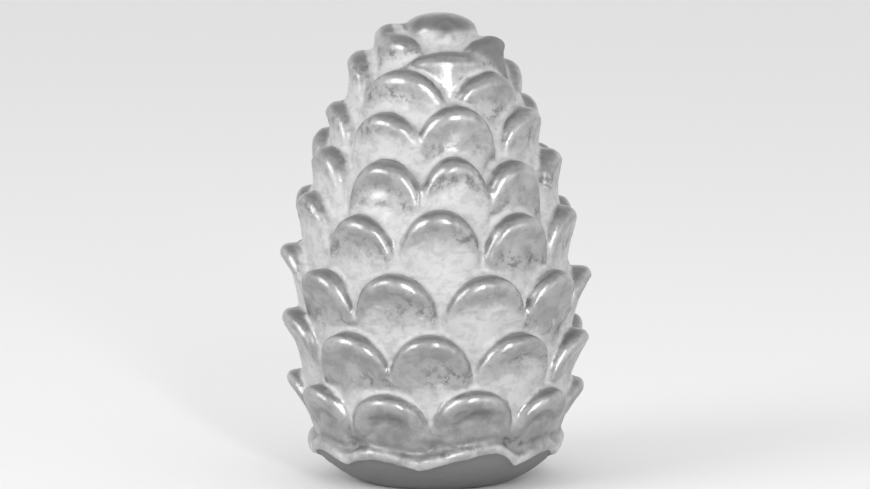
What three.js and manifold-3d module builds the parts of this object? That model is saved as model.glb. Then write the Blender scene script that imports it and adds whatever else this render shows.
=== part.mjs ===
// A pinecone finial, cast hollow in one piece and modelled as one solid. Rings of overlapping scales climb
// a tapering body to a small bud, and a plain bowl below them stands on its flat foot.
// Millimetres, +Z up, the front towards -Y, the origin at the middle of the foot.
import * as THREE from "three";
import { mergeVertices } from "three/addons/utils/BufferGeometryUtils.js";
import Module from "manifold-3d";

// Driving dimensions. The carving keeps its heights and widths as shares of HEIGHT and GIRTH_RADIUS.
const HEIGHT = 230; // foot to the top of the bud
const GIRTH_RADIUS = 78; // axis to the lips of the widest ring
const FOOT_RADIUS = 37.5; // the flat that it stands on
const BOWL_RADIUS = 60.2; // the bowl where it is widest
const BOWL_HEIGHT = 20;
const SKIRT_CREST = 21; // middle of the rolled edge above the bowl, at its high and its low points
const SKIRT_CUSP = 16;
const SKIRT_ROLL = 3.2; // radius of that rolled edge
const LIP_ROUNDING = 6; // radius of the thick rolled edge of a scale
const LIP_FLARE = 5; // how far that edge stands out from the face below it
const SEAM_DEPTH = 3; // how far a face falls back from its middle to its sides
const RING_CLIMB = 4; // the rings were set a little out of level: they climb this far to the back left
const BUD_RADIUS = 18.5;
const BUD_OFFSET = 2.2; // the bud sits this far to the right of the axis
const PIT_SIZE = new THREE.Vector3(4.2, 3, 2.2); // half-sizes of the hollow under the edge of the bud

// Steps of the faceted surfaces.
const ARCH_STEPS = 8; // along the rounded upper edge of a scale
const SKIRT_STEPS = 4; // along the skirt from one low point to the next
const BODY_STEPS = 16;
const BUD_STEPS = 12;
const PIT_STEPS = 6;

const FLARE_REACH = 5.5; // the flare dies away over about this distance from the edge
const FACE_ROWS = [2.2, 1, 0]; // rows of a scale's front: distances in from its outline, in lip roundings
const SCALE_SHARE = 0.98; // width of a scale against its share of the ring
const SEAM_EDGE = 0.45; // size of the rolled edge where two scales meet, against its size at the tip
const TAIL_EDGE = 0.1; // the same below the arch, where the sides run into each other
const TAIL_WIDTH = 1.12; // width of a scale's hidden lower end against its arch
const TAIL_RAYS = [225, 315]; // the two lower corners, as angles about the middle of the arch
const BODY_INSET = 1.2; // the body lies this far inside the seams between the scales
const ROOT_SHARE = 0.55; // a scale's back lies this share of the way out from the axis
const HIDDEN_LENGTH = 0.012; // a face runs on this far below the seams of the ring that hides its foot
const LOWEST_FOOT = 0.05; // foot of the lowest ring's faces, inside the skirt
const LOW_SIDE = 40; // the angle at which the rings are lowest
const BOWL_FULLNESS = 0.85; // below 1 the bowl swells out sooner from its foot
const BOWL_ROWS = [1, 0.6, 0.25, 0.04, 0]; // rows of its wall, as shares of the height to the skirt
const SKIRT_SHARPNESS = 1.6; // above 1 the skirt's low points are sharper than its arches
const TURN = 360;

// Each ring from the bottom up. tips: for each scale, its angle from the front to the right and how much
// higher or lower the carver set it, in thousandths of HEIGHT. height: of the tips. reach: axis to lip.
// foot: axis to the face where the ring below hides it. rise: from the seams to the tips.
const RINGS = [
  {
    tips: [
      [-125, 0], [-90, 9], [-57, 4], [-21, 4], [17, 17], [55, 6], [91, 2], [127, 0], [163, 0], [199, 0],
    ],
    height: 0.211,
    reach: 0.965,
    foot: 0.733,
    rise: 0.093,
  },
  {
    tips: [
      [-114, 9], [-77, 30], [-37, 9], [-2, 15], [35, 15], [76, 0], [110, 4], [146, 0], [182, 4], [214, 0],
    ],
    height: 0.332,
    reach: 1,
    foot: 0.78,
    rise: 0.11,
  },
  {
    tips: [
      [-116, 22], [-84, 35], [-52, 2], [-17, 9], [21.5, 9], [56, 6], [89, -6], [124, 0], [160, 4], [203, 0],
    ],
    height: 0.463,
    reach: 0.995,
    foot: 0.802,
    rise: 0.107,
  },
  {
    tips: [
      [-105, 13], [-70, 22], [-35, -9], [2, 11], [39, 0], [76, 0], [111, 0], [147, 4], [183, 0], [219, 0],
    ],
    height: 0.594,
    reach: 0.908,
    foot: 0.834,
    rise: 0.105,
  },
  {
    tips: [
      [-106, 26], [-70, 4], [-26, -4], [9.5, 6], [42.5, -4], [81, 6], [115, 0], [150, 4], [185, 0], [219, 0],
    ],
    height: 0.706,
    reach: 0.79,
    foot: 0.831,
    rise: 0.097,
  },
  {
    tips: [[-86, -15], [-31, -17], [12.5, 2], [66, -9], [118, 0], [170, 4], [220, 0]],
    height: 0.814,
    reach: 0.685,
    foot: 0.682,
    rise: 0.097,
  },
  {
    tips: [[-97, 13], [-26, -6], [44, -9], [112, 0], [189, 0]],
    height: 0.89,
    reach: 0.545,
    foot: 0.602,
    rise: 0.088,
  },
];

// The crown's scales overlap freely, so each has its own place, half-width and length of face.
const CROWN = [
  { tip: 12, half: 50, height: 0.925, reach: 0.445, foot: 0.5, rise: 0.075, length: 0.11 },
  { tip: 68, half: 40, height: 0.953, reach: 0.44, foot: 0.46, rise: 0.05, length: 0.1 },
  { tip: 150, half: 40, height: 0.943, reach: 0.42, foot: 0.45, rise: 0.055, length: 0.1 },
  { tip: 215, half: 38, height: 0.95, reach: 0.4, foot: 0.44, rise: 0.055, length: 0.1 },
  { tip: 268, half: 40, height: 0.975, reach: 0.365, foot: 0.42, rise: 0.06, length: 0.1 },
  { tip: 311, half: 37, height: 0.958, reach: 0.385, foot: 0.42, rise: 0.055, length: 0.1 },
];

// The lobes of the skirt's rolled edge: the angle of the low point where each starts, the angle of its peak,
// and how much higher than the others it peaks, in thousandths of HEIGHT.
const SKIRT_LOBES = [
  [-116, -98, 0], [-80, -66, 0], [-46, -31, -11], [-7, 28, 6], [40, 62, 0],
  [74, 92, 0], [109, 127, 0], [145, 163, 0], [181, 197, 0], [213, 229, 0],
];
// Its section from the inside over the top to the wall of the bowl: out and up in radii of the roll.
const ROLL_ROWS = [[-0.6, 1], [0.45, 0.75], [1, 0], [0.55, -0.8]];

// The bud from its top down to where the crown's scales hide it, and the top of the body inside it:
// distance from the middle as a share of BUD_RADIUS, and height as a share of HEIGHT.
const BUD_PROFILE = [[0.4, 0.997], [0.72, 0.988], [0.93, 0.974], [1, 0.955], [1, 0.935], [1, 0.9]];
const BODY_TOP = [[1.32, 0.9], [1, 0.945], [0, 0.96]];
const PIT_ANGLE = 14;
const PIT_HEIGHT = 0.964;

const wasm = await Module();
wasm.setup();

const radians = THREE.MathUtils.degToRad;

// A point at an angle from the front, a distance from the axis and a height.
function around(angle, radius, height) {
  const turn = radians(angle);
  return new THREE.Vector3(radius * Math.sin(turn), -radius * Math.cos(turn), height);
}

function solidFromGeometry(geometry) {
  const bare = geometry.clone();
  bare.deleteAttribute("normal");
  bare.deleteAttribute("uv");
  const merged = mergeVertices(bare, 1e-4);
  return new wasm.Manifold(
    new wasm.Mesh({
      numProp: 3,
      vertProperties: merged.attributes.position.array,
      triVerts: new Uint32Array(merged.index.array),
    }),
  );
}

function geometryFromSolid(solid) {
  const mesh = solid.getMesh();
  const geometry = new THREE.BufferGeometry();
  geometry.setAttribute("position", new THREE.BufferAttribute(new Float32Array(mesh.vertProperties), 3));
  geometry.setIndex(new THREE.BufferAttribute(new Uint32Array(mesh.triVerts), 1));
  return geometry;
}

// A closed solid from rows of points: each row is a loop of the same length, and the first and the last
// row are closed by a fan to the point given with them.
function solidFromLoops(start, loops, end) {
  const count = loops[0].length;
  const points = [start, ...loops.flat(), end];
  const last = points.length - 1;
  const at = (row, column) => 1 + row * count + (column % count);
  const faces = [];
  for (let column = 0; column < count; column += 1) {
    faces.push(0, at(0, column), at(0, column + 1));
    for (let row = 0; row + 1 < loops.length; row += 1) {
      faces.push(at(row, column), at(row + 1, column), at(row + 1, column + 1));
      faces.push(at(row, column), at(row + 1, column + 1), at(row, column + 1));
    }
    faces.push(last, at(loops.length - 1, column + 1), at(loops.length - 1, column));
  }
  const geometry = new THREE.BufferGeometry().setFromPoints(points);
  geometry.setIndex(faces);
  return solidFromGeometry(geometry);
}

// How much a rolled edge has fallen back at a distance in from the outline: a quarter round.
function roundedFall(distance, rounding) {
  const left = Math.max(0, 1 - distance / rounding);
  return rounding * (1 - Math.sqrt(1 - left * left));
}

// Distance from the axis to the face of a scale at a height, away from its rolled edge and its sides.
function settledRadius(scale, height) {
  const below = (scale.height - height) / (scale.length * HEIGHT);
  const top = scale.reach * (GIRTH_RADIUS - LIP_FLARE);
  return THREE.MathUtils.lerp(top, scale.foot * GIRTH_RADIUS, below);
}

// Where the outline of a scale runs at an angle about the middle of its arch, 90 at the tip: across and
// up as shares of its half-width and of its rise. Below the arch its sides run straight down.
function outlinePoint(scale, ray) {
  const across = Math.cos(radians(ray));
  const up = Math.sin(radians(ray));
  if (ray > TURN / 2) {
    return { across: Math.sign(across) * TAIL_WIDTH, up: 1 - scale.length / scale.rise, edge: TAIL_EDGE };
  }
  return { across, up, edge: THREE.MathUtils.lerp(SEAM_EDGE, 1, up) };
}

// The front of a scale at an angle about the middle of its arch and at a distance in from its outline.
function scalePoint(scale, ray, distance) {
  const outline = outlinePoint(scale, ray);
  const rise = scale.rise * HEIGHT;
  const width = radians(scale.half) * scale.reach * GIRTH_RADIUS;
  const inward = Math.max(0, 1 - distance / Math.hypot(width * outline.across, rise * outline.up));
  const across = outline.across * inward;
  const height = scale.height - rise + rise * outline.up * inward;
  const rounding = LIP_ROUNDING * outline.edge;
  const away = Math.exp(-Math.max(0, distance - rounding) / FLARE_REACH);
  const flare = LIP_FLARE * scale.reach * outline.edge * away;
  const fall = SEAM_DEPTH * across ** 2 + roundedFall(distance, rounding);
  return around(scale.tip + scale.half * across, settledRadius(scale, height) + flare - fall, height);
}

function scaleSolid(scale) {
  const rays = [];
  for (let step = 0; step <= ARCH_STEPS; step += 1) rays.push((TURN / 2) * (step / ARCH_STEPS));
  rays.push(...TAIL_RAYS);
  const loops = FACE_ROWS.map((row) => rays.map((ray) => scalePoint(scale, ray, row * LIP_ROUNDING)));
  const back = loops.at(-1).map((p) => new THREE.Vector3(p.x * ROOT_SHARE, p.y * ROOT_SHARE, p.z));
  const front = scalePoint(scale, TURN / 4, HEIGHT);
  const root = new THREE.Vector3(front.x * ROOT_SHARE, front.y * ROOT_SHARE, front.z);
  return solidFromLoops(front, [...loops, back], root);
}

// How far apart two angles of a ring lie, going round from the first to the second.
function turnBetween(first, second) {
  return (second - first + TURN) % TURN;
}

function ringScales(ring, index) {
  const below = RINGS[index - 1];
  const end = below ? below.height - below.rise - HIDDEN_LENGTH : LOWEST_FOOT;
  return ring.tips.map(([tip, lift], place) => {
    const before = ring.tips.at(place - 1)[0];
    const after = ring.tips[(place + 1) % ring.tips.length][0];
    const climb = (RING_CLIMB * (1 - Math.cos(radians(tip - LOW_SIDE)))) / 2;
    return {
      ...ring,
      tip,
      half: (SCALE_SHARE * (turnBetween(before, tip) + turnBetween(tip, after))) / 4,
      height: (ring.height + lift / 1000) * HEIGHT + climb,
      length: ring.height - end,
    };
  });
}

function crownScales() {
  return CROWN.map((scale) => ({ ...scale, height: scale.height * HEIGHT }));
}

// The core that carries the scales, turned about the axis just inside the seams between them.
function coreSolid() {
  const seams = RINGS.map((ring, index) => {
    const scale = { ...ringScales(ring, index)[0], height: ring.height * HEIGHT };
    const height = (ring.height - ring.rise) * HEIGHT;
    return new THREE.Vector2(settledRadius(scale, height) - SEAM_DEPTH - BODY_INSET, height);
  });
  const profile = [
    new THREE.Vector2(0, SKIRT_CUSP / 2),
    new THREE.Vector2(FOOT_RADIUS, SKIRT_CUSP / 2),
    ...seams,
    ...BODY_TOP.map(([out, up]) => new THREE.Vector2(out * BUD_RADIUS, up * HEIGHT)),
  ];
  const lathe = new THREE.LatheGeometry(profile, BODY_STEPS);
  lathe.rotateX(Math.PI / 2);
  return solidFromGeometry(lathe);
}

function bowlRadius(height) {
  const share = Math.min(1, height / BOWL_HEIGHT);
  return THREE.MathUtils.lerp(FOOT_RADIUS, BOWL_RADIUS, Math.sin((share * Math.PI) / 2) ** BOWL_FULLNESS);
}

// The plain bowl and the rolled edge of the skirt above it, which runs in a wave between its low points.
function bowlSolid() {
  const columns = SKIRT_LOBES.flatMap(([start, peak, lift], lobe) => {
    const rest = turnBetween(peak, SKIRT_LOBES[(lobe + 1) % SKIRT_LOBES.length][0]);
    const crest = SKIRT_CREST + (lift / 1000) * HEIGHT;
    return Array.from({ length: SKIRT_STEPS }, (_, step) => {
      const past = (2 * step) / SKIRT_STEPS - 1;
      const dip = Math.abs(past) ** SKIRT_SHARPNESS;
      const turn = past * (past < 0 ? peak - start : rest);
      return { angle: peak + turn, edge: THREE.MathUtils.lerp(crest, SKIRT_CUSP, dip) };
    });
  });
  const row = (place) => columns.map((column) => around(column.angle, ...place(column.edge)));
  const roll = ROLL_ROWS.map(([out, up]) =>
    row((edge) => [bowlRadius(edge) + SKIRT_ROLL * out, edge + SKIRT_ROLL * up]),
  );
  const wall = BOWL_ROWS.map((share) =>
    row((edge) => [bowlRadius((edge - SKIRT_ROLL) * share), (edge - SKIRT_ROLL) * share]),
  );
  return solidFromLoops(new THREE.Vector3(0, 0, SKIRT_CUSP), [...roll, ...wall], new THREE.Vector3());
}

// The bud at the top, a low dome. Its hollow is cut afterwards.
function budSolid() {
  const loops = BUD_PROFILE.map(([out, up]) =>
    Array.from({ length: BUD_STEPS }, (_, step) => {
      const point = around(TURN * (step / BUD_STEPS), out * BUD_RADIUS, up * HEIGHT);
      return point.setX(point.x + BUD_OFFSET);
    }),
  );
  const top = new THREE.Vector3(BUD_OFFSET, 0, HEIGHT);
  return solidFromLoops(top, loops, new THREE.Vector3(BUD_OFFSET, 0, BUD_PROFILE.at(-1)[1] * HEIGHT));
}

function pitSolid() {
  const pit = new THREE.SphereGeometry(1, PIT_STEPS, PIT_STEPS);
  pit.scale(PIT_SIZE.x, PIT_SIZE.y, PIT_SIZE.z);
  const place = around(PIT_ANGLE, BUD_RADIUS, PIT_HEIGHT * HEIGHT);
  pit.translate(place.x + BUD_OFFSET, place.y, place.z);
  return solidFromGeometry(pit);
}

const pinecone = new THREE.Group();
const scales = [...RINGS.flatMap(ringScales), ...crownScales()];
const solids = [coreSolid(), bowlSolid(), budSolid().subtract(pitSolid()), ...scales.map(scaleSolid)];
const whole = solids.reduce((joined, solid) => joined.add(solid));
const casting = new THREE.Mesh(
  geometryFromSolid(whole),
  new THREE.MeshStandardMaterial({ color: 0xb4b4b2, roughness: 0.42, metalness: 0.6 }),
);
casting.name = "pinecone";
pinecone.add(casting);

export default pinecone;
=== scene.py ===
"""A silvered pinecone finial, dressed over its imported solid."""

import math

import bmesh
import bpy
import numpy as np
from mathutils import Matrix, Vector, noise


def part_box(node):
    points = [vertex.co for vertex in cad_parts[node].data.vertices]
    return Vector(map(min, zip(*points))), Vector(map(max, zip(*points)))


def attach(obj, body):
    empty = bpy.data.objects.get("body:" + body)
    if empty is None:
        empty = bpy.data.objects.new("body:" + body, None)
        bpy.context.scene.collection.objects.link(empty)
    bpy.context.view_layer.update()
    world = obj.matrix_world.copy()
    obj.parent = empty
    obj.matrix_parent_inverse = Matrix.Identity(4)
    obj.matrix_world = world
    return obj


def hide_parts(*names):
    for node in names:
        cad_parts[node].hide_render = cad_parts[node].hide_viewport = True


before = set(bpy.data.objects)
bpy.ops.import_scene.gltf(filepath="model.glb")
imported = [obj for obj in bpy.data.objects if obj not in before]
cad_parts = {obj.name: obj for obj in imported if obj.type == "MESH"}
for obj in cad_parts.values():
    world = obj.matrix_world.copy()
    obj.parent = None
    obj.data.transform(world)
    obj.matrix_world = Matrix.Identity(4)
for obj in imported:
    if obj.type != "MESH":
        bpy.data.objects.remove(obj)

bl_info = {
    "name": "Silvered Pinecone Finial",
    "version": (1, 0, 0),
    "blender": (4, 5, 0),
    "location": "View3D > Sidebar > Finial",
    "description": "Models and finishes a moulded pinecone finial",
    "category": "Add Mesh",
}

MM = 0.001
LOWEST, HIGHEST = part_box("pinecone")
CAST_HEIGHT = HIGHEST[2] - LOWEST[2]

# Each ring of scales from the bottom up. tips: for each scale, its angle from the front to the right, how
# many millimetres higher or lower it was set, and how many millimetres of its leaf are bare of chalk below
# the tip. height: of the tips, as a share of the finial's height. reach: axis to lip, and foot: axis to the
# face where the ring below hides it, as shares of the girth radius. rise: from the seams to the tips, as a
# share of the height. crease: depth in millimetres of the fold below the lip. shade: how much darker the
# leaf is painted below that fold, or all over where there is none, from 0 to 1. On the lowest ring this is
# painted shade, where the faces turn down.
RINGS = [
    {
        "tips": [(-125, 0, 12), (-90, 2, 16), (-57, 1, 26), (-21, 1, 28), (17, 4, 26),
                 (55, 1.5, 22), (91, 0.5, 14), (127, 0, 10), (163, 0, 12), (199, 0, 14)],
        "height": 0.211, "reach": 0.965, "foot": 0.733, "rise": 0.093, "crease": 2.6, "shade": 0.22,
    },
    {
        "tips": [(-114, 2, 14), (-77, 7, 20), (-37, 2, 26), (-2, 3.5, 22), (35, 3.5, 13),
                 (76, 0, 20), (110, 1, 12), (146, 0, 14), (182, 1, 10), (214, 0, 13)],
        "height": 0.332, "reach": 1.0, "foot": 0.78, "rise": 0.11, "crease": 0.4, "shade": 0,
    },
    {
        "tips": [(-116, 5, 12), (-84, 8, 8), (-52, 0.5, 24), (-17, 2, 17), (21.5, 2, 12),
                 (56, 1.5, 28), (89, -1.5, 14), (124, 0, 10), (160, 1, 12), (203, 0, 14)],
        "height": 0.463, "reach": 0.995, "foot": 0.802, "rise": 0.107, "crease": 0.4, "shade": 0,
    },
    {
        "tips": [(-105, 3, 12), (-70, 5, 8), (-35, -2, 16), (2, 2.5, 12), (39, 0, 24),
                 (76, 0, 18), (111, 0, 12), (147, 1, 14), (183, 0, 11), (219, 0, 12)],
        "height": 0.594, "reach": 0.908, "foot": 0.834, "rise": 0.105, "crease": 0.3, "shade": 0,
    },
    {
        "tips": [(-106, 6, 10), (-70, 1, 8), (-26, -1, 20), (9.5, 1.5, 11), (42.5, -1, 25),
                 (81, 1.5, 14), (115, 0, 12), (150, 1, 12), (185, 0, 10), (219, 0, 11)],
        "height": 0.706, "reach": 0.79, "foot": 0.831, "rise": 0.097, "crease": 0.5, "shade": 0,
    },
    {
        "tips": [(-86, -3.5, 7), (-31, -4, 7), (12.5, 0.5, 24), (66, -2, 14), (118, 0, 10),
                 (170, 1, 11), (220, 0, 10)],
        "height": 0.814, "reach": 0.685, "foot": 0.682, "rise": 0.097, "crease": 0.0, "shade": 0,
    },
    {
        "tips": [(-97, 3, 8), (-26, -1.5, 12), (44, -2, 20), (112, 0, 10), (189, 0, 10)],
        "height": 0.89, "reach": 0.545, "foot": 0.602, "rise": 0.088, "crease": 0.2, "shade": 0,
    },
]

# The crown's scales overlap freely, so each has its own angle, half-width in degrees, length of face as a
# share of the height, bare leaf and shade, how much darker its leaf is painted. The rest is as in a ring.
# The scale at 68 degrees is painted dark all over.
CROWN = [
    {
        "tip": 12, "half": 50, "height": 0.925, "reach": 0.445, "foot": 0.5, "rise": 0.075,
        "length": 0.11, "bare": 20, "shade": 0,
    },
    {
        "tip": 68, "half": 40, "height": 0.953, "reach": 0.44, "foot": 0.46, "rise": 0.05,
        "length": 0.1, "bare": 30, "shade": 0.8,
    },
    {
        "tip": 150, "half": 40, "height": 0.943, "reach": 0.42, "foot": 0.45, "rise": 0.055,
        "length": 0.1, "bare": 9, "shade": 0,
    },
    {
        "tip": 215, "half": 38, "height": 0.95, "reach": 0.4, "foot": 0.44, "rise": 0.055,
        "length": 0.1, "bare": 8, "shade": 0,
    },
    {
        "tip": 268, "half": 40, "height": 0.975, "reach": 0.365, "foot": 0.42, "rise": 0.06,
        "length": 0.1, "bare": 0, "shade": 0,
    },
    {
        "tip": 311, "half": 37, "height": 0.958, "reach": 0.385, "foot": 0.42, "rise": 0.055,
        "length": 0.1, "bare": 8, "shade": 0,
    },
]

# The lobes of the skirt's rolled edge: the angle of the low point where each starts, the angle of its peak
# and how many millimetres higher than the others it peaks.
SKIRT_LOBES = [(-116, -98, 0), (-80, -66, 0), (-46, -31, -0.5), (-7, 28, 2.6), (40, 62, 0),
               (74, 92, 0), (109, 127, 0), (145, 163, 0), (181, 197, 0), (213, 229, 0)]

# The bud from its top down: distance from its middle as a share of its radius, and height as a share of
# the finial's.
BUD_PROFILE = [(0.4, 0.997), (0.72, 0.988), (0.93, 0.974), (1.0, 0.955), (1.0, 0.935), (1.0, 0.9)]

# A scale: the share of its room that it fills, the share of the lip's roll that its seams and its tail keep,
# how wide the tail is against the scale, where its edge fades, and how near the axis the root reaches.
SCALE_SHARE = 0.98
SEAM_EDGE = 0.45
TAIL_EDGE = 0.02
TAIL_WIDTH = 1.12
TAIL_FADE = math.radians(11)
ROOT_SHARE = 0.55
FLARE_REACH = 5.5 * MM
CREASE_PLACE = 12.5 * MM
CREASE_WIDTH = 2.8 * MM
LEAST_ROUNDING = 0.01 * MM

# How the rings sit: the angle of the side where they are lowest, how far a face runs on behind the ring
# below, and where the lowest faces end, as shares of the height.
LOW_SIDE = 40
HIDDEN_LENGTH = 0.012
LOWEST_FOOT = 0.05

# The core and its heights as shares of the finial's, the bowl, where the skirt's roll runs from and to in
# degrees above level, and how far the bud sits to the right.
BODY_INSET = 1.2 * MM
CORE_SHOULDER = 6 * MM
CORE_SHOULDER_HEIGHT, CORE_NECK_HEIGHT, CORE_TOP_HEIGHT = 0.9, 0.945, 0.96
BOWL_FULLNESS = 0.85
LOBE_SHARPNESS = 1.6
ROLL_START, ROLL_END = 120, -60
BUD_OFFSET = 2.2 * MM

# How finely the meshes are made.
ROW_CROWDING = 1.6
BALL_SEGMENTS = 56
BALL_RINGS = 36
TURN_STEPS = 64
BOWL_STEPS = 240
ROLL_ROWS = 10
WALL_ROWS = 12
BUD_CUTS = 2
SMOOTHINGS = 5

# Dents and swellings left by modelling: depth, size and seed of each kind, and the height they start from.
HAND_DENTS = [(0.45 * MM, 13 * MM, 1), (0.16 * MM, 4.5 * MM, 2)]
SEED_STEP = (7.3, 3.1, 5.7)
FOOT_CLEAR = 8 * MM

# Hollows pressed into the bud: angle from the front, height as a share of the finial's, width, height, depth.
HOLLOWS = [
    (11, 0.974, 6.8 * MM, 3.8 * MM, 2.4 * MM),
    (2, 0.957, 2.2 * MM, 1.3 * MM, 1.2 * MM),
    (24, 0.951, 1.8 * MM, 1.8 * MM, 1.2 * MM),
    (-42, 0.972, 3.4 * MM, 4.2 * MM, 0.6 * MM),
    (46, 0.973, 7.0 * MM, 5.0 * MM, 0.4 * MM),
]

# How far out on the bud they reach, as a share of its radius, how wide their darkening spreads, and how
# dark a shallow one and each millimetre of depth make it. The darkening is dark paint together with
# painted shadow in the hollows.
HOLLOW_LIMIT = 1.1
HOLLOW_SPREAD = 1.6
SHALLOW_PAINT_AND_SHADOW, PAINT_AND_SHADOW_PER_MM = 0.2, 0.4

# Which points lie on a scale: slack past its sides as a share, past its tip and behind its face. The lip
# ends low on the sides and the fold is full higher up, as shares of the rise.
SIDE_SLACK = 1.03
TIP_SLACK = 2 * MM
FRONT_SLACK = 5 * MM
LIP_END = 12 * MM
LIP_END_RISE = 1 / 5
FOLD_FULL_RISE = 1 / 3
LEAST_SPOKE = 0.01

# Chalk is marked from -CHALK_SPAN, clean leaf, to CHALK_SPAN, full wash. It gathers over a lip in front, on
# the skirt and in every dip, less on ridges and in a band above the skirt. Widths and places above the
# skirt are in radii of its roll.
CHALK_SPAN = 1.2
CHALK_FADE = 12 * MM
POOL_DEPTH = 4 * MM
SKIRT_CHALK, SKIRT_CHALK_WIDTH = 0.8, 0.95
DIP_CHALK, DIP_DEPTH, DIP_ROUNDS = 0.5, 0.9 * MM, 25
RIDGE_LIMIT = -0.5
BARE_BAND, BARE_BAND_PLACE, BARE_BAND_WIDTH = 0.8, 2.4, 1.3

# Ledges: how level a surface is where they start and how soon they are full, their middle and width in from
# the outline, and how dark the fold is. The upward-facing ledges are darkened partly as darker leaf and
# partly as painted shade, and the fold's dark is painted shade in the crease below the lip.
LEDGE_START, LEDGE_SPREAD = 0.42, 0.5
LEDGE_MIDDLE, LEDGE_WIDTH, LEDGE_FULLNESS = 1 * MM, 2.3 * MM, 1.3
FOLD_LEDGE = 0.85

# The bud's own marks: its radius and lowest height as shares, then for its chalk and its dark top the
# strength, the height where it fades as a share, and how fast. The dark top, like the ledges, is partly
# darker leaf and partly painted shade on its upward-facing top.
BUD_EDGE, BUD_BASE = 1.03, 0.93
BUD_CHALK, BUD_CHALK_HEIGHT, BUD_CHALK_FADE = 0.8, 0.968, 3 * MM
BUD_LEDGE, BUD_LEDGE_HEIGHT, BUD_LEDGE_FADE = 0.75, 0.956, 5 * MM

# The plain bowl starts under the roll, and above it the foot of the lowest faces, where they turn under,
# is darkened with painted shade.
UNDER_ROLL = 0.6
BOWL_SLACK = 1.5 * MM
FACE_SHADE, FACE_SHADE_PLACE, FACE_SHADE_WIDTH = 0.75, 1.5, 0.6
MARK_ROUNDS = 3

# Patterns of the finish. A noise's scale is one over the size of its lumps. The real grain of the wash is
# too fine to show in the render, so its specks are drawn 1.5 mm wide.
STROKE_SHAPE = (1.0, 1.0, 1.35)
BROAD_CLOUD = {"Scale": 1 / (12 * MM), "Detail": 4, "Roughness": 0.6, "Distortion": 0.4}
PATCH_CLOUD = {"Scale": 1 / (5.5 * MM), "Detail": 6, "Roughness": 0.66, "Distortion": 0.4}
SPECK_CLOUD = {"Scale": 1 / (1.5 * MM), "Detail": 3, "Roughness": 0.55}
SMUDGE_CLOUD = {"Scale": 1 / (4.6 * MM), "Detail": 6, "Roughness": 0.68, "Distortion": 0.25}
GROUP_CLOUD = {"Scale": 1 / (22 * MM), "Detail": 1, "Roughness": 0.55}

# How much the broad clouds and the patches add to the blotches, the chalk's mark to the wash, and the
# patches to the ledges.
BROAD_SHARE, PATCH_SHARE, CHALK_SHARE, LEDGE_PATCHES = 1.2, 0.8, 0.4, 1.1

# Where each coat starts and is full, and its strength at both where that isn't 0 and 1.
RUBBED_RANGE = {"From_Min": 0.82, "From_Max": 1.18}
WASH_RANGE = {"From_Min": 0.78, "From_Max": 1.46}
LEDGE_RANGE = {"From_Min": 0.78, "From_Max": 1.35}
PLAIN_RANGE = {"From_Min": 0.3, "From_Max": 0.7}
PATCH_RANGE = {"From_Min": 0.38, "From_Max": 0.55, "To_Min": 0.42, "To_Max": 0}
WORN_START = {"From_Min": -1, "From_Max": -0.2}
WORN_END = {"From_Min": 0, "From_Max": 0.6, "To_Min": 1, "To_Max": 0}
SMUDGE_RANGE = {"From_Min": 0.47, "From_Max": 0.6, "To_Max": 0.9}
GROUP_RANGE = {"From_Min": 0.4, "From_Max": 0.58, "To_Min": 0.3}
SHINE_LEFT = {"From_Min": 0.2, "To_Min": 1, "To_Max": 0.1}

# The surface from wash to bare leaf, and its relief.
METAL_RANGE = {"To_Min": 0.13, "To_Max": 0.75}
ROUGHNESS_RANGE = {"To_Min": 0.46, "To_Max": 0.24}
PATCH_ROUGHNESS = 0.14
RELIEF_STRENGTH = 0.25
SPECK_RELIEF = 0.25 * MM
STROKE_RELIEF = 0.35 * MM

# Node settings that are used more than once.
SMOOTH = {"interpolation_type": "SMOOTHSTEP"}
MULTIPLY = {"operation": "MULTIPLY"}
MULTIPLY_ADD = {"operation": "MULTIPLY_ADD"}

# The photograph: its width in pixels, the pixel column of the axis, and the size of a pixel at the casting.
PHOTO_WIDTH = 870
AXIS_PIXEL = 435.5
PIXEL = 0.4915 * MM
AIM_HEIGHT = 115.6 * MM
SENSOR = 36

# The front light on the left, the narrow light on the right, the low light beside it, and the heights of
# the sky where the room starts to dim and has dimmed to its ceiling.
KEY_PLACE = (-2.25, -1.6, 1.25)
KEY_SIZE = (1.7, 2.0)
STRIP_PLACE = (0.5, -1.94, 0.66)
STRIP_SIZE = (0.1, 1.25)
FILL_PLACE = (1.5, -1.1, 0.4)
FILL_SIZE = (1.0, 1.0)
CEILING_START, CEILING_FULL = 0.35, 0.8
FLOOR_SEGMENTS = 64
PAPER_ROUGHNESS = 0.9


def linear(hex_colour):
    """An sRGB hex colour as linear red, green, blue and alpha."""
    parts = [int(hex_colour[i:i + 2], 16) / 255 for i in (1, 3, 5)]
    return tuple(c / 12.92 if c <= 0.04045 else ((c + 0.055) / 1.055) ** 2.4 for c in parts) + (1.0,)


def colour(name, description, hex_colour):
    return bpy.props.FloatVectorProperty(
        name=name, description=description, subtype="COLOR", size=4, default=linear(hex_colour))


def length(name, description, default):
    return bpy.props.FloatProperty(name=name, description=description, default=default, unit="LENGTH")


def power(name, description, default):
    return bpy.props.FloatProperty(name=name, description=description, default=default, unit="POWER")


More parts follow.
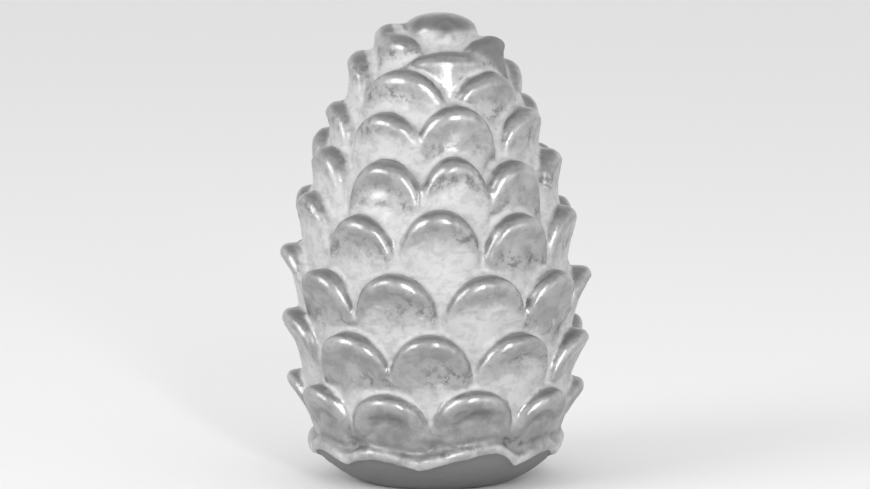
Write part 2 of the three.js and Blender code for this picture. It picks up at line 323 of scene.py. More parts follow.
class FinialSizes(bpy.types.PropertyGroup):
    """Sizes of the casting."""

    height: length("Height", "Foot to the top of the bud", CAST_HEIGHT)
    girth: length("Girth radius", "Axis to the lips of the widest ring", 78 * MM)
    foot: length("Foot radius", "The flat that it stands on", 37.5 * MM)
    bowl: length("Bowl radius", "The plain bowl where it is widest", 60.2 * MM)
    bowl_height: length("Bowl height", "Height at which the bowl is widest", 20 * MM)
    skirt_crest: length("Skirt crest", "Height of the skirt's edge between its points", 21 * MM)
    skirt_cusp: length("Skirt points", "Height of the skirt's low points", 16 * MM)
    skirt_roll: length("Skirt roll", "Radius of the skirt's rolled edge", 3.2 * MM)
    rounding: length("Lip rounding", "Radius of a scale's thick rolled edge", 6 * MM)
    flare: length("Lip flare", "How far the edge stands out from the face", 5 * MM)
    seam: length("Seam depth", "How far a face falls back to its sides", 3 * MM)
    tilt: length("Ring tilt", "How far the rings climb to the back left", 4 * MM)
    bud: length("Bud radius", "Radius of the bud at the top", 18.5 * MM)
    cell: length("Skin cell", "Cell that the joined skin is rebuilt in", 1.34 * MM)


class FinialFinish(bpy.types.PropertyGroup):
    """Colours of the finish, some of them painted shade."""

    leaf: colour("Leaf", "Silver leaf where it is clean", "#B4B4B4")
    rubbed: colour("Rubbed", "Darker leaf where it is handled", "#969696")
    wash: colour("Wash", "Chalky wash left in the hollows", "#BEBEBE")
    # Partly darker leaf and partly painted shade on the upward ledges and in the folds.
    ledge: colour("Ledges", "Upper edges of the scales", "#8A8A8A")
    # Plain unwashed paint, made dark grey partly as painted shade under the bowl.
    plain: colour("Underside", "Plain painted bowl", "#6E6E6E")
    worn: colour("Worn leaf", "Dark smudges where the leaf thins out", "#747474")
    # Matt dark coat: painted shade on and under the lowest faces, a darkened crown scale, and dark paint with
    # painted shadow in the bud's hollows.
    dark_paint_and_shade: colour("Soiled", "Matt dark places in hollows and under the lowest faces", "#626262")


class FinialStage(bpy.types.PropertyGroup):
    """Floor, lights and camera."""

    floor: length("Floor", "Radius of the floor", 7)
    paper: colour("Paper", "Colour of the floor", "#F4F4F4")
    room: colour("Room", "Colour of the room around", "#FFFFFF")
    room_strength: bpy.props.FloatProperty(
        name="Room light", description="Strength of the room's light", default=1.05)
    ceiling: bpy.props.FloatProperty(
        name="Ceiling", description="How bright the ceiling is against the walls", default=0.62)
    key: power("Key", "Power of the front light", 34)
    strip: power("Strip", "Power of the narrow light", 15)
    fill: power("Fill", "Power of the light on the right", 2)
    distance: length("Camera distance", "Camera to the finial", 2.1)
    elevation: bpy.props.FloatProperty(
        name="Camera elevation", description="Angle above level", default=math.radians(7), unit="ROTATION")


def add(tree, kind, settings=None, output=0, **links):
    """Adds a node, sets its properties and plain inputs, links the rest and returns one of its outputs. An
    input's name has its spaces written as underscores, and i with a number picks it by place."""
    node = tree.nodes.new(kind)
    for name, value in (settings or {}).items():
        setattr(node, name, value)
    for name, value in links.items():
        socket = node.inputs[int(name[1:])] if name[1:].isdigit() else node.inputs[name.replace("_", " ")]
        if isinstance(value, bpy.types.NodeSocket):
            tree.links.new(value, socket)
        else:
            socket.default_value = value
    return node.outputs[output] if node.outputs else None


# Shape of the casting

def ring_end(index):
    """Where a ring's faces end, hidden behind the ring below, as a share of the height."""
    if index == 0:
        return LOWEST_FOOT
    below = RINGS[index - 1]
    return below["height"] - below["rise"] - HIDDEN_LENGTH


def all_scales(sizes):
    """Every scale of the rings and the crown, with its lengths in metres."""
    scales = []
    for index, ring in enumerate(RINGS):
        tips = [tip for tip, _, _ in ring["tips"]]
        nearby = [tips[-1] - 360, *tips, tips[0] + 360]
        for place, (tip, lift, bare) in enumerate(ring["tips"]):
            tilt = sizes.tilt * (1 - math.cos(math.radians(tip - LOW_SIDE))) / 2
            gap = (nearby[place + 2] - nearby[place]) / 2
            scales.append({
                "tip": tip,
                "half": SCALE_SHARE * gap / 2,
                "height": ring["height"] * sizes.height + tilt + lift * MM,
                "length": (ring["height"] - ring_end(index)) * sizes.height,
                "bare": bare * MM,
                "crease": ring["crease"] * MM,
                **shared_values(ring, sizes),
            })
    for scale in CROWN:
        scales.append({
            "tip": scale["tip"],
            "half": scale["half"],
            "height": scale["height"] * sizes.height,
            "length": scale["length"] * sizes.height,
            "bare": scale["bare"] * MM,
            "crease": 0,
            **shared_values(scale, sizes),
        })
    for scale in scales:
        scale["width"] = math.radians(scale["half"]) * scale["size"] * sizes.girth
    return scales


def shared_values(shares, sizes):
    return {
        "reach": shares["reach"] * sizes.girth,
        "foot": shares["foot"] * sizes.girth,
        "rise": shares["rise"] * sizes.height,
        "size": shares["reach"],
        "shade": shares["shade"],
    }


def lerp(low, high, share):
    return low + (high - low) * share


def bell(value, middle, width, steepness=2):
    """1 at the middle and falling away past the width on both sides."""
    return np.exp(-((value - middle) / width) ** steepness)


def around(angle, radius, height):
    """Points at angles in degrees from the front to the right, distances from the axis and heights."""
    turn = np.radians(angle)
    return np.stack([radius * np.sin(turn), -radius * np.cos(turn), height + 0 * turn], axis=1)


def angles_of(points):
    """The angle of each point about the axis, in degrees from the front to the right."""
    return np.degrees(np.arctan2(points[:, 0], -points[:, 1]))


def turned_by(angle, start):
    """How far angles lie past a start, in degrees from -180 to 180."""
    return (angle - start + 180) % 360 - 180


def settled_radius(scale, height, sizes):
    """Distance from the axis to a scale's face, away from its rolled edge and its sides."""
    below = (scale["height"] - height) / scale["length"]
    top = scale["reach"] * (1 - sizes.flare / sizes.girth)
    return lerp(top, scale["foot"], below)


def rounded_fall(distance, rounding):
    """How much a rolled edge has fallen back at a distance in from the outline: a quarter round."""
    left = np.clip(1 - distance / np.maximum(rounding, LEAST_ROUNDING), 0, 1)
    return rounding * (1 - np.sqrt(1 - left * left))


def shaped_scale(scale, ball, sizes):
    """Where a unit ball's points go: its front half makes the face and its back half the root behind it."""
    ray = np.arctan2(ball[:, 1], ball[:, 0])
    polar = np.arccos(np.clip(ball[:, 2], -1, 1)) / (math.pi / 2)
    bottom = 1 - scale["length"] / scale["rise"]
    bends = [0, math.pi / 4, 3 * math.pi / 4, math.pi]
    arch = ray >= 0
    across = np.where(arch, np.cos(ray), np.interp(-ray, bends, [1, TAIL_WIDTH, -TAIL_WIDTH, -1]))
    up = np.where(arch, np.sin(ray), np.interp(-ray, bends, [0, bottom, bottom, 0]))
    fades = [0, TAIL_FADE, math.pi - TAIL_FADE, math.pi]
    tail_edge = np.interp(-ray, fades, [SEAM_EDGE, TAIL_EDGE, TAIL_EDGE, SEAM_EDGE])
    edge = np.where(arch, lerp(SEAM_EDGE, 1, np.sin(ray)), tail_edge)

    spoke = np.hypot(scale["width"] * across, scale["rise"] * up)
    front = np.clip(1 - polar, 0, 1) ** ROW_CROWDING
    behind = np.clip(2 * (polar - 1), 0, 2)
    inward = np.where(polar <= 1, 1 - front, np.clip(2 - behind, 0, 1))
    distance = np.where(polar <= 1, front * spoke, 0)
    height = scale["height"] - scale["rise"] + scale["rise"] * up * inward
    rounding = sizes.rounding * edge
    away = np.exp(-np.maximum(0, distance - rounding) / FLARE_REACH)
    flare = sizes.flare * scale["size"] * edge * away
    fall = sizes.seam * (across * inward) ** 2 + rounded_fall(distance, rounding)
    fold = scale["crease"] * edge * bell(distance, CREASE_PLACE, CREASE_WIDTH)
    radius = settled_radius(scale, height, sizes) + flare - fall - fold
    root = lerp(1, ROOT_SHARE, np.clip(behind, 0, 1))
    return around(scale["tip"] + scale["half"] * across * inward, radius * root, height)


def move_to(verts, places):
    for vert, place in zip(verts, places):
        vert.co = place


def coordinates(verts):
    return np.array([vert.co for vert in verts])


def add_scales(bm, scales, sizes):
    """Adds a ball for each scale, with its points moved to the scale's shape."""
    shape = bmesh.new()
    bmesh.ops.create_uvsphere(shape, u_segments=BALL_SEGMENTS, v_segments=BALL_RINGS, radius=1)
    ball = coordinates(shape.verts)
    mesh = bpy.data.meshes.new("scale")
    for scale in scales:
        move_to(shape.verts, shaped_scale(scale, ball, sizes))
        shape.to_mesh(mesh)
        bm.from_mesh(mesh)
    shape.free()
    bpy.data.meshes.remove(mesh)


def add_turned(bm, profile, steps):
    """Spins a line of (radius, height) points about the axis. It closes where it starts and ends there."""
    verts = [bm.verts.new((radius, 0, height)) for radius, height in profile]
    edges = [bm.edges.new(pair) for pair in zip(verts, verts[1:])]
    before = set(bm.verts) - set(verts)
    bmesh.ops.spin(
        bm, geom=verts + edges, cent=(0, 0, 0), axis=(0, 0, 1), angle=math.tau, steps=steps, use_merge=True)
    return [vert for vert in bm.verts if vert not in before]


def add_core(bm, sizes):
    """The body that carries the scales, just inside the seams between them."""
    seams = []
    for index, ring in enumerate(RINGS):
        scale = {
            "height": ring["height"] * sizes.height,
            "length": (ring["height"] - ring_end(index)) * sizes.height,
            "reach": ring["reach"] * sizes.girth,
            "foot": ring["foot"] * sizes.girth,
        }
        height = (ring["height"] - ring["rise"]) * sizes.height
        seams.append((settled_radius(scale, height, sizes) - sizes.seam - BODY_INSET, height))
    base = sizes.skirt_cusp / 2
    top = [
        (sizes.bud + CORE_SHOULDER, CORE_SHOULDER_HEIGHT * sizes.height),
        (sizes.bud, CORE_NECK_HEIGHT * sizes.height),
        (0, CORE_TOP_HEIGHT * sizes.height),
    ]
    add_turned(bm, [(0, base), (sizes.foot, base), *seams, *top], TURN_STEPS)


def bowl_radius(height, sizes):
    share = np.clip(height / sizes.bowl_height, 0, 1)
    return lerp(sizes.foot, sizes.bowl, np.sin(share * math.pi / 2) ** BOWL_FULLNESS)


def skirt_edge(angle, sizes):
    """Height of the skirt's rolled edge: high lobes between its low points."""
    starts, peaks, lifts = (np.array(column) for column in zip(*SKIRT_LOBES))
    turned = (angle - starts[0]) % 360 + starts[0]
    knots = [*np.stack([starts, peaks], axis=1).ravel(), starts[0] + 360]
    dip = np.interp(turned, knots, [1, 0] * len(starts) + [1]) ** LOBE_SHARPNESS
    lobe = np.searchsorted(starts, turned, side="right") - 1
    return lerp(sizes.skirt_crest + lifts[lobe] * MM, sizes.skirt_cusp, dip)


def add_bowl(bm, sizes):
    """The plain bowl with the skirt's roll above it. It is spun as plain steps, one row for each number in
    height, and each row is then laid along the wave."""
    turns = np.radians(np.linspace(ROLL_START, ROLL_END, ROLL_ROWS))
    walls = np.linspace(1, 0, WALL_ROWS)
    last = ROLL_ROWS + WALL_ROWS + 1
    line = [(0, 0), *[(1, row) for row in range(1, last)], (0, last)]
    verts = add_turned(bm, line, BOWL_STEPS)
    points = coordinates(verts)
    row = np.rint(points[:, 2]).astype(int)
    angle = angles_of(points)
    edge = skirt_edge(angle, sizes)
    roll = turns[np.clip(row - 1, 0, ROLL_ROWS - 1)]
    wall = (edge - sizes.skirt_roll) * walls[np.clip(row - 1 - ROLL_ROWS, 0, WALL_ROWS - 1)]
    rolled = row <= ROLL_ROWS
    roll_radius = bowl_radius(edge, sizes) + sizes.skirt_roll * np.cos(roll)
    radius = np.where(rolled, roll_radius, bowl_radius(wall, sizes))
    height = np.where(rolled, edge + sizes.skirt_roll * np.sin(roll), wall)
    radius = np.where((row == 0) | (row == last), 0, radius)
    height = np.where(row == 0, sizes.skirt_cusp, np.where(row == last, 0, height))
    move_to(verts, around(angle, radius, height))


def cut_corners(points, rounds):
    """A line with its corners cut off, a quarter of each side at a time."""
    for _ in range(rounds):
        start, end = points[:-1], points[1:]
        cut = np.stack([lerp(start, end, 0.25), lerp(start, end, 0.75)], axis=1).reshape(-1, 2)
        points = np.concatenate([points[:1], cut, points[-1:]])
    return points


def add_bud(bm, sizes):
    line = [(out * sizes.bud, up * sizes.height) for out, up in BUD_PROFILE]
    line = [(0, sizes.height), *line, (0, BUD_PROFILE[-1][1] * sizes.height)]
    verts = add_turned(bm, cut_corners(np.array(line), BUD_CUTS), TURN_STEPS)
    bmesh.ops.translate(bm, verts=verts, vec=(BUD_OFFSET, 0, 0))


def joined_skin(bm, sizes):
    """One skin over all the shells, rebuilt in small even cells and smoothed, as a mould leaves it."""
    mesh = bpy.data.meshes.new("shells")
    bm.to_mesh(mesh)
    bm.free()
    casting = bpy.data.objects.new("pinecone_casting", mesh)
    bpy.context.scene.collection.objects.link(casting)
    skin = casting.modifiers.new("Skin", "REMESH")
    skin.mode = "VOXEL"
    skin.voxel_size = sizes.cell
    soft = casting.modifiers.new("Soft", "SMOOTH")
    soft.factor = 0.5
    soft.iterations = SMOOTHINGS
    graph = bpy.context.evaluated_depsgraph_get()
    casting.data = bpy.data.meshes.new_from_object(casting.evaluated_get(graph))
    casting.modifiers.clear()
    bpy.data.meshes.remove(mesh)
    casting.data.name = "pinecone_casting"
    casting.data.shade_smooth()
    return casting


def vectors(layer, kind):
    values = np.zeros(len(layer) * 3, np.float32)
    layer.foreach_get(kind, values)
    return values.reshape(-1, 3).astype(float)


def lumps(points, size, seed):
    """Smooth noise from -1 to 1 with lumps of a size, the same each time for a seed."""
    shift = seed * Vector(SEED_STEP)
    return np.array([noise.noise(Vector(point) / size + shift) for point in points])


def in_hollows(points, sizes):
    """How far inside the bud's hollows each point lies, from 0 to 1, weighted by how dark the hollow is
    painted with dark paint and painted shadow, and how deep it is pressed in.
    """
    centred = points - (BUD_OFFSET, 0, 0)
    angle = angles_of(centred)
    on_bud = np.hypot(centred[:, 0], centred[:, 1]) < HOLLOW_LIMIT * sizes.bud
    inside, depth = np.zeros(len(points)), np.zeros(len(points))
    for place, share, wide, tall, deep in HOLLOWS:
        across = np.radians(turned_by(angle, place)) * sizes.bud
        up = points[:, 2] - share * sizes.height
        near = np.exp(-2 * ((across / wide) ** 2 + (up / tall) ** 2)) * on_bud
        # How dark the hollow is made: dark paint and painted shadow, more for a deeper one.
        paint_and_shadow = min(1, SHALLOW_PAINT_AND_SHADOW + PAINT_AND_SHADOW_PER_MM * deep / MM)
        inside = np.maximum(inside, np.clip(HOLLOW_SPREAD * near, 0, 1) * paint_and_shadow)
        depth += near * deep
    return inside, depth


def worked_by_hand(mesh, sizes):
    """Small dents and swellings left by modelling, none at the foot, and the hollows pressed into the bud."""
    points = vectors(mesh.vertices, "co")
    normals = vectors(mesh.vertex_normals, "vector")
    clear = np.clip(points[:, 2] / FOOT_CLEAR, 0, 1) ** 2
    push = sum(depth * lumps(points, size, seed) for depth, size, seed in HAND_DENTS)
    points += normals * (push * clear)[:, None]
    out = (points - (BUD_OFFSET, 0, 0)) * (1, 1, 0)
    out /= np.maximum(np.linalg.norm(out, axis=1), MM)[:, None]
    points -= out * in_hollows(points, sizes)[1][:, None]
    points[:, 2] = np.maximum(points[:, 2], 0)
    mesh.vertices.foreach_set("co", points.astype(np.float32).ravel())
    mesh.update()


# Marks for the finish

def spread(mesh, values, rounds):
    """Values of a mesh's points, each softened towards its neighbours a number of times."""
    edges = np.zeros(len(mesh.edges) * 2, np.int32)
    mesh.edges.foreach_get("vertices", edges)
    start, end = edges.reshape(-1, 2).T
    size = len(mesh.vertices)
    count = np.bincount(start, minlength=size) + np.bincount(end, minlength=size)
    for _ in range(rounds):
        nearby = [
            np.bincount(start, column[end], size) + np.bincount(end, column[start], size)
            for column in values.T]
        values = lerp(values, np.stack(nearby, axis=1) / count[:, None], 0.5)
    return values


def hollowness(mesh, points, normals):
    """How deep each point lies in a hollow, in metres, and less than zero on a ridge: how far many rounds of
    smoothing would lift it off the surface."""
    return np.sum((spread(mesh, points, DIP_ROUNDS) - points) * normals, axis=1)


def mark_scales(points, scales, sizes):
    """For each point: how far it lies below the bare leaf of its scale, how far in from that scale's
    outline, how far above the outline of a scale in front of it, how far inside the fold, and how much
    darker its scale is painted, which on the lowest ring is painted shade."""
    angle = angles_of(points)
    radius = np.hypot(points[:, 0], points[:, 1])
    height = points[:, 2]
    past_bare, rim, above_lip = (np.ones(len(points)) for _ in range(3))
    fold, shade = (np.zeros(len(points)) for _ in range(2))
    for scale in sorted(scales, key=lambda each: -each["height"]):
        across = turned_by(angle, scale["tip"]) / scale["half"]
        base = scale["height"] - scale["rise"]
        outline = base + scale["rise"] * np.sqrt(np.clip(1 - across ** 2, 0, 1))
        face = settled_radius(scale, np.minimum(height, outline), sizes) - sizes.seam * across ** 2
        low = height > scale["height"] - scale["length"]
        beside = np.abs(across) < SIDE_SLACK
        front = beside & (height < outline + TIP_SLACK) & low & (radius > face - FRONT_SLACK)
        past_bare = np.where(front, scale["height"] - scale["bare"] - height, past_bare)

        up = np.maximum((height - base) / scale["rise"], 0)
        spoke = np.maximum(np.hypot(across, up), LEAST_SPOKE)
        inward = (1 - spoke) * np.hypot(scale["width"] * across, scale["rise"] * up) / spoke
        rim = np.where(front, inward + LIP_END * np.clip(1 - up / LIP_END_RISE, 0, 1), rim)
        in_fold = bell(inward, CREASE_PLACE, CREASE_WIDTH) * np.clip(up / FOLD_FULL_RISE, 0, 1)
        fold = np.where(front, in_fold * scale["crease"] / CREASE_WIDTH, fold)
        past_fold = 1
        if scale["crease"]:
            past_fold = np.clip((inward - CREASE_PLACE) / CREASE_WIDTH + 0.5, 0, 1)
        # The scale's leaf painted darker past its fold, or all over where it has no fold: painted shade on
        # the lowest ring's downward faces.
        shade = np.where(front, scale["shade"] * past_fold, shade)

        above_lip = np.where(front, 1.0, above_lip)
        gap = height - outline
        lip = settled_radius(scale, outline, sizes) - sizes.seam * across ** 2
        behind = (np.abs(across) < 1) & (gap > 0) & (radius < lip - MM)
        above_lip = np.where(behind & (gap < above_lip), gap, above_lip)
    return past_bare, rim, above_lip, fold, shade


def chalkiness(past_bare, above_lip, rolls, dip):
    """How chalky each point is: low on the faces, over the lip in front, on the skirt and in hollows."""
    chalk = np.clip(past_bare / CHALK_FADE, -CHALK_SPAN, CHALK_SPAN)
    skirt = SKIRT_CHALK * bell(rolls, 0, SKIRT_CHALK_WIDTH, 4)
    gathered = np.maximum(bell(above_lip, 0, POOL_DEPTH), skirt)
    chalk = np.maximum(chalk, lerp(-CHALK_SPAN, 1, gathered))
    chalk += DIP_CHALK * np.clip(dip, RIDGE_LIMIT, 1)
    chalk -= BARE_BAND * bell(rolls, BARE_BAND_PLACE, BARE_BAND_WIDTH)
    return np.clip(chalk, -CHALK_SPAN, CHALK_SPAN)


def ledge_darkness(upward, rim, fold):
    """How dark each point is as the upper edge of a scale, where it faces up, or as the fold below it: partly
    darker leaf and partly painted shade on the edge, and painted shade in the fold.
    """
    level = np.clip((upward - LEDGE_START) / LEDGE_SPREAD, 0, 1)
    near = np.clip(LEDGE_FULLNESS - np.abs(rim - LEDGE_MIDDLE) / LEDGE_WIDTH, 0, 1)
    return np.maximum(level * near, FOLD_LEDGE * fold)


def mark_finish(mesh, scales, sizes):
    """Stores where the finish is chalky, where it is dark along the lips (partly darker leaf, partly painted
    shade), where the bowl is plain, and where the casting is painted dark: painted shade on and under the
    lowest faces, a darkened crown scale, and dark paint with painted shadow in the bud's hollows."""
    points = vectors(mesh.vertices, "co")
    normals = vectors(mesh.vertex_normals, "vector")
    height = points[:, 2]
    past_bare, rim, above_lip, fold, shade = mark_scales(points, scales, sizes)
    rolls = (height - skirt_edge(angles_of(points), sizes)) / sizes.skirt_roll
    dip = hollowness(mesh, points, normals) / DIP_DEPTH
    chalk = chalkiness(past_bare, above_lip, rolls, dip)
    # Upward lip tops and folds are darkened: partly darker leaf, partly painted shade.
    ledge = ledge_darkness(normals[:, 2], rim, fold)

    bud = np.hypot(points[:, 0] - BUD_OFFSET, points[:, 1]) < BUD_EDGE * sizes.bud
    bud = bud & (height > BUD_BASE * sizes.height)
    bud_chalk = BUD_CHALK * np.clip((BUD_CHALK_HEIGHT * sizes.height - height) / BUD_CHALK_FADE, -1, 1)
    # The bud's top is darkened like the ledges, partly as painted shade.
    bud_ledge = np.clip((height - BUD_LEDGE_HEIGHT * sizes.height) / BUD_LEDGE_FADE, 0, BUD_LEDGE)

    on_bowl = np.hypot(points[:, 0], points[:, 1]) < bowl_radius(height, sizes) + BOWL_SLACK
    # Painted shade at the foot of the lowest faces, where they turn under above the skirt.
    face_shade = FACE_SHADE * bell(rolls, FACE_SHADE_PLACE, FACE_SHADE_WIDTH)
    marks = {
        "chalk": np.where(bud, bud_chalk, chalk),
        "ledge": np.where(bud, bud_ledge, ledge),
        # The plain bowl; its dark grey is partly painted shade.
        "underside": ((rolls < -UNDER_ROLL) & on_bowl).astype(float),
        # Painted shade on and under the lowest faces, a darkened crown scale, and dark paint with painted
        # shadow in the bud's hollows.
        "dark": np.maximum(np.maximum(shade, face_shade), in_hollows(points, sizes)[0]),
    }
    softened = spread(mesh, np.stack(list(marks.values()), axis=1), MARK_ROUNDS)
    for name, values in zip(marks, softened.T):
        layer = mesh.attributes.new(name, "FLOAT", "POINT")
        layer.data.foreach_set("value", values.astype(np.float32))


# Finish

def silver_leaf(finish):
    """Silver leaf, dulled and rubbed, over a moulded body with a chalky wash left in its hollows. The leaf is
    a metal with a soft shine that clouds to a darker grey where it is handled and wears to dark smudges. Its
    upward ledges and folds are darker, partly darker leaf and partly painted shade. The wash is matt and
    pale. The dark places are matt: painted shade on and under the lowest faces, a darkened crown scale, and
    dark paint with painted shadow in the bud's hollows. The bowl below the skirt is plain grey paint, its
    dark grey partly painted shade."""
    material = bpy.data.materials.new("dulled_silver_leaf_with_chalk_wash")
    material.use_nodes = True
    tree = material.node_tree
    tree.nodes.clear()
    where = add(tree, "ShaderNodeTexCoord", output="Object")
    chalk_mark, ledge_mark, underside_mark, dark_mark = (
        add(tree, "ShaderNodeAttribute", {"attribute_name": name}, output="Fac")
        for name in ("chalk", "ledge", "underside", "dark"))

    strokes = add(tree, "ShaderNodeVectorMath", MULTIPLY, i0=where, i1=STROKE_SHAPE)
    broad = add(tree, "ShaderNodeTexNoise", Vector=where, **BROAD_CLOUD)
    patches = add(tree, "ShaderNodeTexNoise", Vector=strokes, **PATCH_CLOUD)
    specks = add(tree, "ShaderNodeTexNoise", Vector=where, **SPECK_CLOUD)
    smudges = add(tree, "ShaderNodeTexNoise", Vector=where, **SMUDGE_CLOUD)
    groups = add(tree, "ShaderNodeTexNoise", Vector=where, **GROUP_CLOUD)

    blotch = add(tree, "ShaderNodeMath", MULTIPLY, i0=patches, i1=PATCH_SHARE)
    blotch = add(tree, "ShaderNodeMath", MULTIPLY_ADD, i0=broad, i1=BROAD_SHARE, i2=blotch)
    chalk = add(tree, "ShaderNodeMath", MULTIPLY_ADD, i0=chalk_mark, i1=CHALK_SHARE, i2=blotch)
    chalk = add(tree, "ShaderNodeMapRange", SMOOTH, Value=chalk, **WASH_RANGE)
    ledge = add(tree, "ShaderNodeMath", MULTIPLY_ADD, i0=patches, i1=LEDGE_PATCHES, i2=ledge_mark)
    ledge = add(tree, "ShaderNodeMapRange", SMOOTH, Value=ledge, **LEDGE_RANGE)
    rubbed = add(tree, "ShaderNodeMapRange", SMOOTH, Value=blotch, **RUBBED_RANGE)
    dulled = add(tree, "ShaderNodeMapRange", SMOOTH, Value=patches, **PATCH_RANGE)
    plain = add(tree, "ShaderNodeMapRange", SMOOTH, Value=underside_mark, **PLAIN_RANGE)
    worn = add(tree, "ShaderNodeMapRange", SMOOTH, Value=chalk_mark, **WORN_START)
    for value, strength in ((chalk_mark, WORN_END), (smudges, SMUDGE_RANGE), (groups, GROUP_RANGE)):
        part = add(tree, "ShaderNodeMapRange", SMOOTH, Value=value, **strength)
        worn = add(tree, "ShaderNodeMath", MULTIPLY, i0=worn, i1=part)

    # The ledge coat is partly painted shade, the coat on the dark mark is painted shade with dark paint in
    # the bud's hollows, and the plain bowl's grey is partly painted shade.
    coat = finish.leaf
    for share, over in (
            (rubbed, finish.rubbed), (chalk, finish.wash), (worn, finish.worn), (ledge, finish.ledge),
            (dulled, finish.rubbed), (dark_mark, finish.dark_paint_and_shade), (plain, finish.plain)):
        coat = add(tree, "ShaderNodeMix", {"data_type": "RGBA"}, output=2, i0=share, i6=coat, i7=over)

    bare = add(tree, "ShaderNodeMapRange", SMOOTH, Value=dark_mark, **SHINE_LEFT)
    for cover in (chalk, plain):
        left = add(tree, "ShaderNodeMath", {"operation": "SUBTRACT"}, i0=1, i1=cover)
        bare = add(tree, "ShaderNodeMath", MULTIPLY, i0=bare, i1=left)
    metallic = add(tree, "ShaderNodeMapRange", SMOOTH, Value=bare, **METAL_RANGE)
    roughness = add(tree, "ShaderNodeMapRange", SMOOTH, Value=bare, **ROUGHNESS_RANGE)
    roughness = add(tree, "ShaderNodeMath", MULTIPLY_ADD, i0=patches, i1=PATCH_ROUGHNESS, i2=roughness)

    relief = add(
        tree, "ShaderNodeBump", Strength=RELIEF_STRENGTH, Distance=SPECK_RELIEF, Height=specks)
    relief = add(
        tree, "ShaderNodeBump", Strength=RELIEF_STRENGTH, Distance=STROKE_RELIEF, Height=patches,
        Normal=relief)
    shader = add(
        tree, "ShaderNodeBsdfPrincipled", Base_Color=coat, Metallic=metallic, Roughness=roughness,
        Normal=relief)
    add(tree, "ShaderNodeOutputMaterial", Surface=shader)
    return material


def pale_paper(shade):
    """Smooth matt paper, rolled out as the floor: pale, with no shine."""
    material = bpy.data.materials.new("pale_paper")
    material.use_nodes = True
    tree = material.node_tree
    tree.nodes.clear()
    shader = add(tree, "ShaderNodeBsdfPrincipled", Base_Color=shade, Roughness=PAPER_ROUGHNESS)
    add(tree, "ShaderNodeOutputMaterial", Surface=shader)
    return material


# Stage

def looking(obj, place, target):
    obj.location = place
    obj.rotation_euler = (Vector(target) - Vector(place)).to_track_quat("-Z", "Y").to_euler()


def area_light(name, place, target, size, strength):
    light = bpy.data.lights.new(name, "AREA")
    light.shape = "RECTANGLE"
    light.size, light.size_y = size
    light.energy = strength
    lamp = bpy.data.objects.new(name, light)
    bpy.context.scene.collection.objects.link(lamp)
    looking(lamp, place, target)


def surround(shade, strength, ceiling):
    """A pale room with a dimmer ceiling, as the casting sees it in its reflections."""
    world = bpy.data.worlds.new("pale_room")
    world.use_nodes = True
    tree = world.node_tree
    tree.nodes.clear()
    direction = add(tree, "ShaderNodeTexCoord", output="Generated")
    height = add(tree, "ShaderNodeSeparateXYZ", output="Z", Vector=direction)
    fade = add(
        tree, "ShaderNodeMapRange", SMOOTH, Value=height, From_Min=CEILING_START, From_Max=CEILING_FULL,
        To_Min=strength, To_Max=strength * ceiling)
    back = add(tree, "ShaderNodeBackground", Color=shade, Strength=fade)
    add(tree, "ShaderNodeOutputWorld", Surface=back)
    bpy.context.scene.world = world


# Operators

class FINIAL_OT_casting(bpy.types.Operator):
    """Model the casting and give it its finish"""

    bl_idname = "finial.casting"
    bl_label = "Pinecone Casting"

    def execute(self, context):
        sizes = context.scene.finial_sizes
        finish = context.scene.finial_finish
        scales = all_scales(sizes)
        bm = bmesh.new()
        add_core(bm, sizes)
        add_bowl(bm, sizes)
        add_bud(bm, sizes)
        add_scales(bm, scales, sizes)
        casting = joined_skin(bm, sizes)
        worked_by_hand(casting.data, sizes)
        mark_finish(casting.data, scales, sizes)
        casting.data.materials.append(silver_leaf(finish))
        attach(casting, "root")
        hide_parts("pinecone")
        return {"FINISHED"}


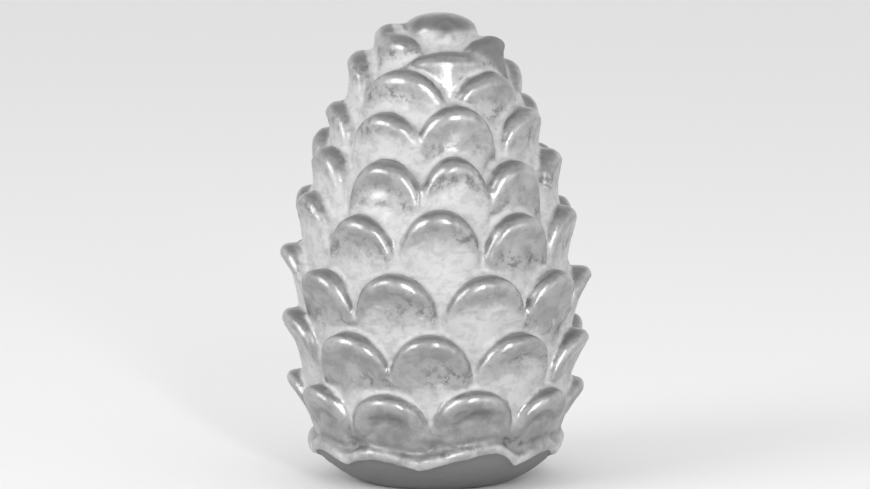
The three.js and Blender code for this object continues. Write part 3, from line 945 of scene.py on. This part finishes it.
class FINIAL_OT_stage(bpy.types.Operator):
    """Set the pale floor, the lights and the camera"""

    bl_idname = "finial.stage"
    bl_label = "Stage"

    def execute(self, context):
        stage = context.scene.finial_stage
        mesh = bpy.data.meshes.new("floor")
        bm = bmesh.new()
        bmesh.ops.create_circle(bm, cap_ends=True, segments=FLOOR_SEGMENTS, radius=stage.floor)
        bm.to_mesh(mesh)
        bm.free()
        floor = bpy.data.objects.new("floor", mesh)
        floor.data.materials.append(pale_paper(stage.paper))
        context.scene.collection.objects.link(floor)

        middle = (0, 0, CAST_HEIGHT / 2)
        area_light("key", KEY_PLACE, middle, KEY_SIZE, stage.key)
        area_light("strip", STRIP_PLACE, middle, STRIP_SIZE, stage.strip)
        area_light("fill", FILL_PLACE, middle, FILL_SIZE, stage.fill)
        surround(stage.room, stage.room_strength, stage.ceiling)

        lens = bpy.data.cameras.new("camera")
        camera = bpy.data.objects.new("camera", lens)
        context.scene.collection.objects.link(camera)
        lens.sensor_width = SENSOR
        lens.lens = SENSOR * stage.distance / (PHOTO_WIDTH * PIXEL)
        aim = Vector(((PHOTO_WIDTH / 2 - AXIS_PIXEL) * PIXEL, 0, AIM_HEIGHT))
        back = Vector((0, -math.cos(stage.elevation), math.sin(stage.elevation)))
        looking(camera, aim + back * stage.distance, aim)
        context.scene.camera = camera
        context.scene.view_settings.view_transform = "Standard"
        return {"FINISHED"}


class VIEW3D_PT_finial(bpy.types.Panel):
    """Sizes, finish and stage of the finial"""

    bl_idname = "VIEW3D_PT_finial"
    bl_label = "Pinecone Finial"
    bl_space_type = "VIEW_3D"
    bl_region_type = "UI"
    bl_category = "Finial"

    def draw(self, context):
        for group in (context.scene.finial_sizes, context.scene.finial_finish, context.scene.finial_stage):
            box = self.layout.box()
            for name in group.__annotations__:
                box.prop(group, name)
        self.layout.operator(FINIAL_OT_casting.bl_idname)
        self.layout.operator(FINIAL_OT_stage.bl_idname)


CLASSES = (FinialSizes, FinialFinish, FinialStage, FINIAL_OT_casting, FINIAL_OT_stage, VIEW3D_PT_finial)


def register():
    for cls in CLASSES:
        bpy.utils.register_class(cls)
    bpy.types.Scene.finial_sizes = bpy.props.PointerProperty(type=FinialSizes)
    bpy.types.Scene.finial_finish = bpy.props.PointerProperty(type=FinialFinish)
    bpy.types.Scene.finial_stage = bpy.props.PointerProperty(type=FinialStage)


def unregister():
    del bpy.types.Scene.finial_stage
    del bpy.types.Scene.finial_finish
    del bpy.types.Scene.finial_sizes
    for cls in reversed(CLASSES):
        bpy.utils.unregister_class(cls)


def main():
    register()
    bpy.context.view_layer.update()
    bpy.ops.finial.casting()
    bpy.ops.finial.stage()


if __name__ == "__main__":
    main()
